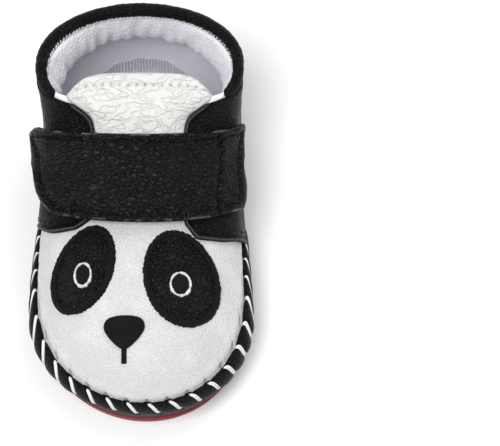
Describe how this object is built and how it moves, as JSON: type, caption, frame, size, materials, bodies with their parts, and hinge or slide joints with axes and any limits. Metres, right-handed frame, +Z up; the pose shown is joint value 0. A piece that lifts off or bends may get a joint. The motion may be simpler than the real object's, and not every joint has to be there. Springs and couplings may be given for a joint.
{
  "type": "baby bootie",
  "caption": "Soft baby bootie for a right foot: black and white leather upper with an animal face, laced toe seam, padded collar, tongue, hook-and-loop strap and thin rubber sole.",
  "frame": {"origin": "centre of the bounding box on the ground, under the middle of the sole", "axes": "+Z up, toe towards -Y, heel towards +Y, medial side (the strap's stitched end) towards +X"},
  "size_m": [0.0693, 0.1227, 0.0472],
  "materials": {
    "red_rubber": "glossy",
    "board": "matte",
    "foam": "matte",
    "ribbed_fabric": "matte",
    "lining_fabric": "matte",
    "terry_fabric": "matte",
    "white_leather": "satin",
    "black_leather": "satin",
    "black_fabric": "matte",
    "hook_and_loop": "matte",
    "white_thread": "matte",
    "black_thread": "satin"
  },
  "bodies": {
    "shoe": {"outsole": "red_rubber", "insole_board": "board", "midsole_foam": "foam", "insole": "ribbed_fabric", "side_wall": "black_leather", "vamp": "white_leather", "forefoot_lining": "lining_fabric", "quarter_lateral": "black_leather", "quarter_medial": "black_leather", "heel_counter": "board", "quarter_lining_lateral": "lining_fabric", "quarter_lining_medial": "lining_fabric", "collar_padding": "foam", "collar_lining": "terry_fabric", "collar_core": "foam", "collar_cover": "black_leather", "loop_patch": "hook_and_loop", "strap_tail": "black_leather", "strap_tail_backing": "black_fabric", "anchor_stitching": "black_thread", "whip_stitches": "white_thread", "quarter_stitching": "black_thread", "eye_patch_lateral": "black_leather", "eye_patch_medial": "black_leather", "eye_border_lateral": "black_thread", "eye_border_medial": "black_thread", "eye_ring_lateral": "white_thread", "eye_ring_medial": "white_thread", "pupil_lateral": "black_thread", "pupil_medial": "black_thread", "nose": "black_thread", "mouth_stitch": "black_thread"},
    "strap": {"strap_leather": "black_leather", "strap_backing": "black_fabric", "hook_patch": "hook_and_loop", "strap_stitching": "black_thread"},
    "tongue": {"tongue_leather": "white_leather", "tongue_foam": "foam", "tongue_lining": "lining_fabric", "tongue_stitching": "white_thread"}
  },
  "joints": [
    {"name": "strap_open", "type": "hinge", "parent": "shoe", "child": "strap", "pos_m": [0.0214, 0.00532, 0.03671], "axis": [-0.0012, 0.9431, 0.3325], "range_deg": [0, 120]},
    {"name": "tongue_lift", "type": "hinge", "parent": "shoe", "child": "tongue", "pos_m": [0, -0.0035, 0.0325], "axis": [1, 0, 0], "range_deg": [0, 36]}
  ],
  "couplings": [
    {"joint": "tongue_lift", "follows": "strap_open", "ratio": 0.3}
  ]
}
